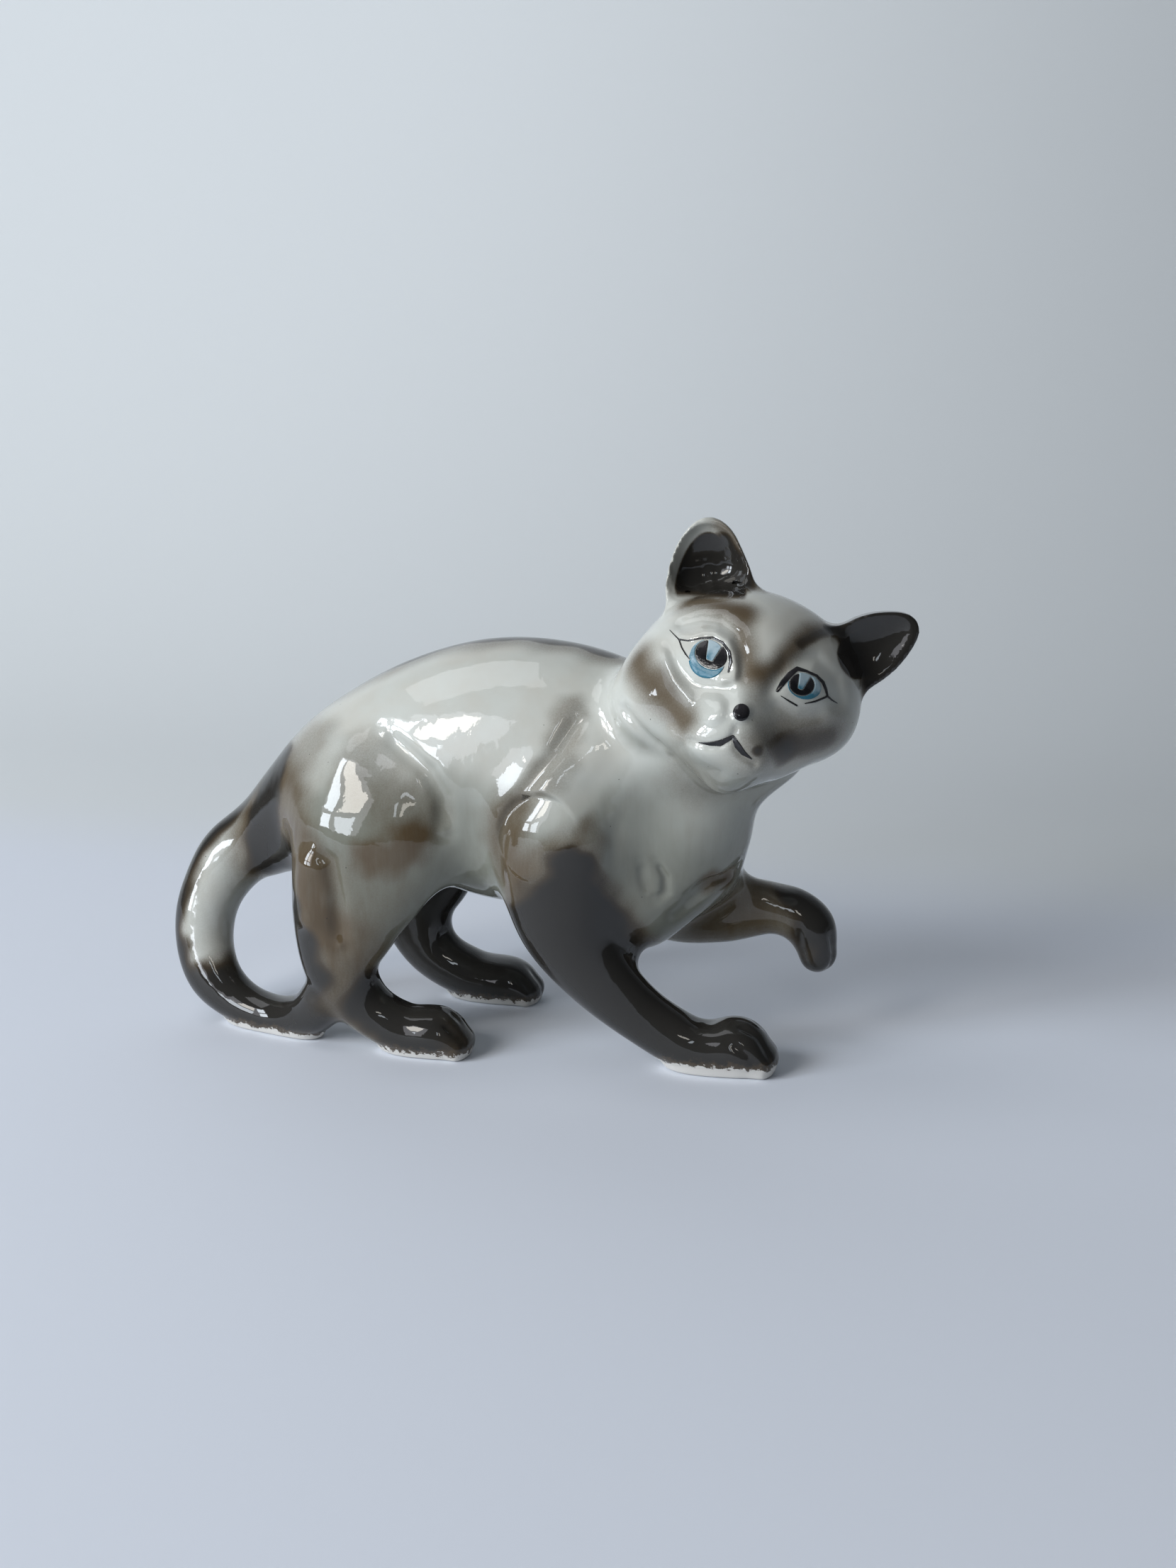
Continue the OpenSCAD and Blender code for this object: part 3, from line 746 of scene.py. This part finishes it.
def glaze_masks(parts, points, normals):
    """How brown and how black the glaze is at each point of the skin, and how deep its pooled
    grey-green with painted shade.
    """
    local = to_head(points)
    on_head = smooth_step((local[:, 2] + 16) / 3)
    brown = layered(sprayed(BROWN + both_sides(BOTH_BROWN), points),
                    sprayed(HEAD_BROWN, local, 0.1, 1.8, 0.15) * on_head)
    black = layered(sprayed(BLACK + both_sides(BOTH_BLACK), points),
                    sprayed(HEAD_BLACK, local, 0.1, 1.7, 0.15) * on_head)
    for name, ear in EARS.items():
        on_ear = smooth_step(1.5 - sample(parts[name], points))
        black = np.maximum(black, ear_paint(ear, points, normals, on_ear))
    # Darker towards the bottom of the body, but not on the tail: partly glaze that pools low, partly
    # painted shade.
    low = 0.68 * smooth_step((60 - points[:, 2]) / 30) * smooth_step((points[:, 0] + 64) / 14)
    # Painted shade on the faces that turn downwards.
    under = 0.6 * smooth_step(0.3 - normals[:, 2])
    pooled_and_shaded = layered(sprayed(SHADE, points), low, under)
    # Only a little of the pooled grey-green and painted shade reaches the head.
    pooled_and_shaded *= 1 - 0.7 * smooth_step((local[:, 2] + 14) / 8)
    return np.column_stack([brown, black, pooled_and_shaded])


# ---- materials ----
class Nodes:
    """A node tree that is wired by name."""

    def __init__(self, name):
        self.material = bpy.data.materials.new(name)
        self.material.use_nodes = True
        self.tree = self.material.node_tree
        self.shader = self.tree.nodes["Principled BSDF"]

    def add(self, kind, inputs=(), **settings):
        node = self.tree.nodes.new("ShaderNode" + kind)
        for key, value in settings.items():
            setattr(node, key, value)
        for key, value in dict(inputs).items():
            self.set(node.inputs[key], value)
        return node

    def set(self, socket, value):
        if isinstance(value, bpy.types.NodeSocket):
            self.tree.links.new(value, socket)
        else:
            socket.default_value = value

    def surface(self, colour, rough, index, strength, distance, relief):
        """The shader's colour, roughness and index, with a bump of this height in metres."""
        bump = self.add("Bump", {"Strength": strength, "Distance": distance, "Height": relief})
        for key, value in (("Base Color", colour), ("Roughness", rough), ("IOR", index),
                           ("Normal", bump.outputs[0])):
            self.set(self.shader.inputs[key], value)
        return self.material

    def math(self, operation, a, b=0.0, c=0.0):
        return self.add("Math", {0: a, 1: b, 2: c}, operation=operation).outputs[0]

    def between(self, value, low, high):
        return self.add("MapRange", {"Value": value, "From Min": low, "From Max": high},
                        interpolation_type="SMOOTHSTEP").outputs[0]

    def mix(self, amount, a, b):
        node = self.add("Mix", data_type="RGBA")
        for socket, value in ((0, amount), (6, a), (7, b)):
            self.set(node.inputs[socket], value)
        return node.outputs[2]

    def place(self):
        """Position on the cat in millimetres."""
        at = self.add("TexCoord").outputs["Object"]
        return self.add("VectorMath", {0: at, "Scale": 1000.0}, operation="SCALE").outputs[0]

    def noise(self, at, scale, detail=3.0, rough=0.55):
        return self.add("TexNoise", {"Vector": at, "Scale": scale, "Detail": detail,
                                     "Roughness": rough}).outputs["Fac"]


PALE = (0.59, 0.60, 0.55, 1)
CREAM = (0.57, 0.56, 0.50, 1)
# The pooled grey-green, which also serves as painted shade.
POOLED_AND_SHADED = (0.185, 0.19, 0.155, 1)
BROWN_GLAZE = (0.095, 0.066, 0.036, 1)
BLACK_GLAZE = (0.0265, 0.0245, 0.0215, 1)
BARE_CLAY = (0.64, 0.62, 0.58, 1)
MOTTLE = 2.2                    # how far the fine dots of the airbrush break up a soft edge
# The runs streak the pooled grey-green, which is partly painted shade.
RUNS = (0.55, 0.55, 0.10)       # the grain of the runs in the pooled glaze, tall in z
FOREFOOT = (15.0, 26.0)         # x along which the wiped clay rises towards the forefoot
WIPED_RISE = 0.9                # by this many mm
WIPED_RAGGED = -4.6             # mm that noise lifts the edge of the wiped clay


def glaze_material(name, gloss):
    """Airbrushed stain under a clear glaze, a pooled grey-green that is partly painted shade, and
    bare clay where the foot was wiped.
    """
    n = Nodes(name)
    at = n.place()
    paint = n.add("SeparateColor", {0: n.add("Attribute", attribute_name="glaze").outputs[0]})
    brown, black, shade = paint.outputs
    speck = n.noise(at, 3.6, 3, 0.8)
    cloud = n.noise(at, 0.11, 3)
    colour = n.mix(n.between(cloud, 0.35, 0.7), PALE, CREAM)
    # Grey-green where the glaze pools, partly painted shade low on the body and under it.
    colour = n.mix(shade, colour, POOLED_AND_SHADED)
    grain = n.math("MULTIPLY_ADD", n.math("SUBTRACT", speck, 0.5), MOTTLE)

    def rough_edged(mask):
        """A sprayed mask with its edge broken into fine dots."""
        edge = n.math("MULTIPLY", mask, n.math("SUBTRACT", 1.0, mask))
        return n.math("MULTIPLY_ADD", edge, grain, mask)

    run = n.add("VectorMath", {0: at, 1: RUNS}, operation="MULTIPLY").outputs[0]
    streak = n.math("SUBTRACT", n.noise(run, 1.0, 3, 0.6), 0.45)
    brown = n.math("MULTIPLY_ADD", n.math("MULTIPLY", streak, 0.5), shade, brown)
    fringe = n.between(black, 0.0, 0.7)
    brown = n.add("Clamp", {"Value": n.math("MAXIMUM", brown, fringe)}).outputs[0]
    colour = n.mix(rough_edged(brown), colour, BROWN_GLAZE)
    colour = n.mix(rough_edged(n.between(black, 0.2, 0.95)), colour, BLACK_GLAZE)
    pin = n.add("TexVoronoi", {"Vector": at, "Scale": 0.24, "Randomness": 1.0})
    dot = n.math("LESS_THAN", pin.outputs["Distance"], 0.028)
    colour = n.mix(n.math("MULTIPLY", dot, 0.75), colour, BLACK_GLAZE)
    along, _, height = n.add("SeparateXYZ", {0: at}).outputs
    front = n.math("MULTIPLY", n.between(along, *FOREFOOT), WIPED_RISE)
    height = n.math("SUBTRACT", height, front)
    ragged = n.math("MULTIPLY_ADD", n.noise(at, 0.7, 5, 0.75), WIPED_RAGGED, height)
    colour = n.mix(n.math("MULTIPLY", n.between(ragged, 0.5, -0.8), 0.6), colour, BROWN_GLAZE)
    bare = n.math("SUBTRACT", 1.0, n.between(ragged, -1.05, -0.8))
    colour = n.mix(bare, colour, BARE_CLAY)
    wave = n.noise(at, 0.16, 2, 0.4)
    fine = n.noise(at, 0.6, 2, 0.5)
    rough = n.math("MULTIPLY_ADD", bare, 0.75, gloss)
    return n.surface(colour, rough, 1.55, 0.12, 0.0012, n.math("MULTIPLY_ADD", fine, 0.13, wave))


def enamel_material(name, deep, thin, gloss, index):
    """Fired brush enamel, thicker and darker in patches."""
    n = Nodes(name)
    at = n.place()
    height = n.add("SeparateColor", {0: n.add("Attribute", attribute_name="glaze").outputs[0]})
    height = n.math("MULTIPLY_ADD", n.math("SUBTRACT", n.noise(at, 0.6, 3), 0.5), 0.9,
                    height.outputs[0])
    colour = n.mix(n.between(height, 0.25, 0.8), deep, thin)
    rough = n.math("MULTIPLY_ADD", n.noise(at, 2.0, 2), 0.08, gloss)
    return n.surface(colour, rough, index, 0.3, 0.0001, n.noise(at, 1.5, 2))


# ---- enamel, drawn flat in x and z of the head's frame and laid on the glaze ----
STROKE = 0.45     # the usual width of a stroke
# A stroke is points (x, z, width). A disc is its centre and its two radii.
RIGHT_LINES = [
    [(-15.5, 5.6, 0.15), (-13.5, 4.9, 0.3), (-12, 5.3, 0.3), (-10.3, 6.4, 0.35),
     (-8.5, 7.2, STROKE), (-6.7, 7.1, STROKE), (-5.2, 6.2, 0.5), (-4.4, 4.8, 0.6),
     (-4.2, 3.2, 0.35)],
    [(-13.5, 4.9, 0.3), (-12.6, 3.9, 0.3), (-11.6, 3.2, 0.3), (-10.7, 2.7, 0.15)]]
LEFT_LINES = [
    [(4.2, 3, 0.6), (4.6, 4.5, 0.95), (5.2, 6, 0.95), (6, 7.2, 0.7), (7.6, 7.3, STROKE),
     (9.4, 7.1, STROKE), (10.8, 6.4, 0.55), (11.7, 5.4, 0.5), (12.3, 4.5, 0.4),
     (13.2, 4.1, 0.3), (14.3, 3.8, 0.15)],
    [(9.1, 2.4, 0.2), (10.6, 3.2, 0.4), (12.3, 4.5, 0.4)],
    [(5, 2.4, 0.15), (6.6, 2, 0.35), (8, 1.7, 0.35)]]
# An eye is its pupil, its iris and its lines.
RIGHT_EYE = (((-7.7, 4.7), (2.65, 2.2)), ((-8.1, 3.8), (3.0, 3.05)), RIGHT_LINES)
LEFT_EYE = (((7.6, 5.1), (2.05, 1.75)), ((8.1, 5), (2.8, 2.05)), LEFT_LINES)
MOUTH_LINES = [[
    (-4.8, -8.8, 0.15), (-3.1, -8.3, 0.7), (-1.6, -7.6, 1.1), (0, -5.9, 0.6),
    (1.2, -7, 1.1), (2.4, -7.8, 0.9), (4, -8.3, 0.25)]]


def brush(lines, x, z):
    """Flat distance to strokes of changing width."""
    best = 1e9
    for line in lines:
        for (ax, az, aw), (bx, bz, bw) in zip(line, line[1:]):
            ex, ez = bx - ax, bz - az
            t = np.clip(((x - ax) * ex + (z - az) * ez) / (ex * ex + ez * ez), 0, 1)
            d = np.hypot(x - ax - ex * t, z - az - ez * t) - (aw + (bw - aw) * t) / 2
            best = np.minimum(best, d)
    return best


def disc(shape, x, z):
    (cx, cz), (rx, rz) = shape
    return (np.hypot((x - cx) / rx, (z - cz) / rz) - 1) * min(rx, rz)


def horseshoe(shape, x, z):
    """A disc that is open at the top round a pale spark, partly a slot painted on the pupil and
    partly a painted highlight.
    """
    (cx, cz), (rx, rz) = shape
    rise = z - cz + 0.45 * rz
    spark = soft_max(np.abs(x - cx) - 0.22 * rx - 0.22 * rise, -rise, 0.3)
    return soft_max(disc(shape, x, z), -spark, 0.25)


def pupil(eye, x, z):
    shape, _, lines = eye
    return soft_max(horseshoe(shape, x, z), 0.02 - brush(lines, x, z), 0.1)


def iris(eye, x, z):
    pupil_shape, shape, lines = eye
    inner = np.minimum(horseshoe(pupil_shape, x, z), brush(lines, x, z))
    return soft_max(disc(shape, x, z), 0.03 - inner, 0.1)


# The box (x, x, z, z) of each drawing, how it is drawn, and from what.
DRAWINGS = {
    "mouth_enamel": ((-6, 5.5, -10, -4.5), brush, MOUTH_LINES),
    "right_iris_enamel": ((-11, -3.8, 0, 7.5), iris, RIGHT_EYE),
    "left_iris_enamel": ((4.8, 11.5, 2.3, 7.6), iris, LEFT_EYE),
    "right_pupil_enamel": ((-10.6, -4.8, 2, 7.3), pupil, RIGHT_EYE),
    "left_pupil_enamel": ((5, 10.2, 2.8, 7.4), pupil, LEFT_EYE),
    "right_eye_lines": ((-16.5, -3, 1.5, 8.5), brush, RIGHT_LINES),
    "left_eye_lines": ((3, 15.2, 0.8, 8.5), brush, LEFT_LINES),
    "nose_enamel": ((-2, 1.8, -3.7, 0.1), disc, ((-0.1, -1.8), (1.35, 1.35)))}
FINE = 0.1        # spacing of the enamel's own grid
THICK = 0.14      # height of the enamel over the glaze
SUNK = 0.1        # how far it is fused into the glaze


def face_depth(field, x, z):
    """The depth y, in the head's frame, at which each (x, z) meets the skin."""
    y = np.full(x.shape, -21.0)
    for _ in range(40):
        points = from_head(np.stack([x.ravel(), y.ravel(), z.ravel()], 1))
        y += 0.8 * sample(field, points).reshape(x.shape)
    return y


def enamel(name, field, material):
    """One drawing of DRAWINGS, as a thin raised layer on the skin."""
    (x0, x1, z0, z1), drawn, subject = DRAWINGS[name]
    xs, zs = np.arange(x0, x1, FINE), np.arange(z0, z1, FINE)
    x, z = np.meshgrid(xs, zs, indexing="ij")
    depth = face_depth(field, x, z)
    shape = drawn(subject, x, z)
    near = shape < 0.4
    low, high = depth[near].min() - 0.6, depth[near].max() + 0.6
    ys = np.arange(low, high, FINE)
    gx, gz = np.gradient(depth, FINE)
    lean = 1 / np.sqrt(1 + gx ** 2 + gz ** 2)
    y = ys[None, :, None]
    over = (y - depth[:, None, :]) * -lean[:, None, :]
    slab = np.maximum(over - THICK, -SUNK - over)
    solid = soft_max(shape[:, None, :] + 0 * y, slab, 0.16).astype(np.float32)
    grid = vdb.FloatGrid(1.0)
    grid.copyFromArray(np.ascontiguousarray(solid), ijk=(0, 0, 0))
    points, quads = grid.convertToQuads(isovalue=0)
    points = from_head(points * FINE + (x0, low, z0))
    quads = outward(points, quads.astype(int))
    height = (to_head(points)[:, 2] - z0) / (z1 - z0)
    return build(name, points, quads.tolist(), np.column_stack([height] * 3), material)


def outward(points, quads):
    """The faces, all turned to face out of the solid."""
    a, b, c, d = (points[quads[:, k]] for k in range(4))
    volume = ((a - points.mean(0)) * np.cross(c - a, d - b)).sum()
    return quads if volume > 0 else quads[:, ::-1]


# ---- room, light and camera ----
def paper():
    """Pale paper, bluish where it lies flat, with painted shade that dims it away from the window.
    """
    n = Nodes("paper")
    across, depth, _ = n.add("SeparateXYZ", {0: n.place()}).outputs
    colour = n.mix(n.between(depth, 80.0, 150.0), (0.84, 0.88, 0.96, 1), (0.84, 0.87, 0.88, 1))
    # Painted shade: the paper darkens away from the window on the left, and more on the wall than on
    # the floor.
    dim = n.math("MULTIPLY", n.between(across, -250.0, 500.0),
                 n.math("MULTIPLY_ADD", n.between(depth, 60.0, 160.0), 0.45, 0.2))
    n.set(n.shader.inputs["Base Color"], n.mix(dim, colour, (0.30, 0.32, 0.34, 1)))
    n.set(n.shader.inputs["Roughness"], 0.7)
    return n.material


def sweep_of_paper():
    """A floor that curves up into a wall behind the cat."""
    reach, front, start, radius, height = 3.0, -0.32, 0.20, 0.5, 2.5
    turn = np.linspace(0, math.pi / 2, 24)
    line = [(front, 0.0), (start, 0.0)]
    line += [(start + radius * math.sin(t), radius * (1 - math.cos(t))) for t in turn[1:]]
    line += [(start + radius, height)]
    points = [(x, y, z) for y, z in line for x in (-reach, reach)]
    faces = [(2 * i, 2 * i + 1, 2 * i + 3, 2 * i + 2) for i in range(len(line) - 1)]
    mesh_piece("paper_sweep", points, faces, paper())


def facing(name, data, aim, azimuth, elevation, distance):
    """Puts a light or a camera round the aim, and turns it to look there.
    Azimuth 0 is in front, negative to the left. The angles are in degrees."""
    a, e = math.radians(azimuth), math.radians(elevation)
    way = Vector((math.sin(a) * math.cos(e), -math.cos(a) * math.cos(e), math.sin(e)))
    thing = bpy.data.objects.new(name, data)
    thing.location = Vector(aim) + way * distance
    thing.rotation_euler = way.to_track_quat("Z", "Y").to_euler()
    bpy.context.collection.objects.link(thing)
    return thing


def softbox(name, azimuth, elevation, distance, size, power, colour):
    """A rectangular light that faces the cat."""
    light = bpy.data.lights.new(name, "AREA")
    light.shape = "RECTANGLE"
    light.size, light.size_y = size
    light.energy = power
    light.color = colour
    facing(name, light, (0, 0, 0.04), azimuth, elevation, distance)


def lights():
    """Two windows in front on the left and the right, a bright ceiling, and a dim room."""
    sky, warm = (0.84, 0.92, 1), (1.0, 0.96, 0.88)
    for i, azimuth in enumerate((-51, -32)):
        for j, elevation in enumerate((11, 31)):
            softbox(f"pane_left_{i}_{j}", azimuth, elevation, 1.3, (0.27, 0.36), (3.9, 2.6)[i],
                    warm if i and j else sky)
    for i, azimuth in enumerate((9, 18)):
        softbox(f"pane_right_{i}", azimuth, 32, 1.5, (0.09, 0.32), 0.45, warm if i else sky)
    softbox("curtain", -39, 22, 1.5, (1.0, 1.05), 7.0, (0.92, 0.93, 1.0))
    softbox("ceiling", -80, 66, 1.4, (0.8, 0.8), 3, (0.95, 0.97, 1.0))
    world = bpy.data.worlds.new("room")
    world.use_nodes = True
    tree = world.node_tree
    room, seen = tree.nodes["Background"], tree.nodes.new("ShaderNodeBackground")
    room.inputs[0].default_value = (0.50, 0.56, 0.64, 1)
    room.inputs[1].default_value = 0.07
    seen.inputs[0].default_value = (0.50, 0.56, 0.62, 1)
    choose, path = tree.nodes.new("ShaderNodeMixShader"), tree.nodes.new("ShaderNodeLightPath")
    ends = (path.outputs["Is Camera Ray"], room.outputs[0], seen.outputs[0])
    for k, end in enumerate(ends):
        tree.links.new(end, choose.inputs[k])
    tree.links.new(choose.outputs[0], tree.nodes["World Output"].inputs[0])
    bpy.context.scene.world = world
    bpy.context.scene.view_settings.view_transform = "Standard"


def camera():
    """The viewpoint: in front and to the left of the cat's head, a little above it."""
    data = bpy.data.cameras.new("camera")
    data.lens, data.sensor_width = 50, 36
    data.clip_start, data.clip_end = 0.01, 20
    aim = (0.0101, 0.0052, 0.0466)
    bpy.context.scene.camera = facing("camera", data, aim, 13.9, 13.75, 0.385)


# ---- the cat ----
def flat_footed(field):
    """Gives each foot an upright edge and a flat sole."""
    foot = int(round(FOOT / VOXEL)) - LOW[2]
    for k in range(foot):
        edge = field[:, :, foot] + DRAW_IN * (foot - k) * VOXEL
        field[:, :, k] = np.minimum(field[:, :, k], edge)
    return soft_max(field, -AXES[2][None, None, :], 0.5)


def glazed_castings(parts, field):
    """The skin of the field, cut into one closed piece for each casting."""
    points, quads = skin_of(field)
    points = points.astype(float)
    quads = outward(points, quads)
    owner = share_out(parts, points, quads)
    points = even_borders(field, points, quads, owner)
    normals = slope(field, points)
    masks = glaze_masks(parts, points, normals)
    finish = {slot: glaze_material(slot, gloss) for slot, gloss in (
        ("pale_glaze", 0.035), ("dark_glaze", 0.035), ("ear_glaze", 0.06))}
    for k, name in enumerate(NAMES):
        used, faces = np.unique(quads[owner == k], return_inverse=True)
        faces = faces.reshape(-1, 4)
        fans, middles = cap(faces, points[used])
        slot = SLOTS.get(name, "dark_glaze")
        piece = build(name + "_skin", np.concatenate([points[used], middles]),
                      faces.tolist() + fans.tolist(),
                      np.concatenate([masks[used], 0 * middles]), finish[slot],
                      np.concatenate([normals[used], 0 * middles + (0, 0, 1)]))
        hand_over(piece, name)


def drawn_face(field):
    """The enamel that was fired on over the glaze."""
    finish = {
        "black_enamel": enamel_material("black_enamel", (0.010, 0.010, 0.011, 1),
                                        (0.03, 0.028, 0.03, 1), 0.08, 1.5),
        "blue_enamel": enamel_material("blue_enamel", (0.045, 0.17, 0.24, 1),
                                       (0.40, 0.50, 0.54, 1), 0.10, 1.3)}
    for name in DRAWINGS:
        slot = "blue_enamel" if "iris" in name else "black_enamel"
        hand_over(enamel(name, field, finish[slot]), name)


def cat():
    parts = castings()
    field = flat_footed(detailed(luted(parts)))
    glazed_castings(parts, field)
    drawn_face(field)


camera()
sweep_of_paper()
lights()
cat()
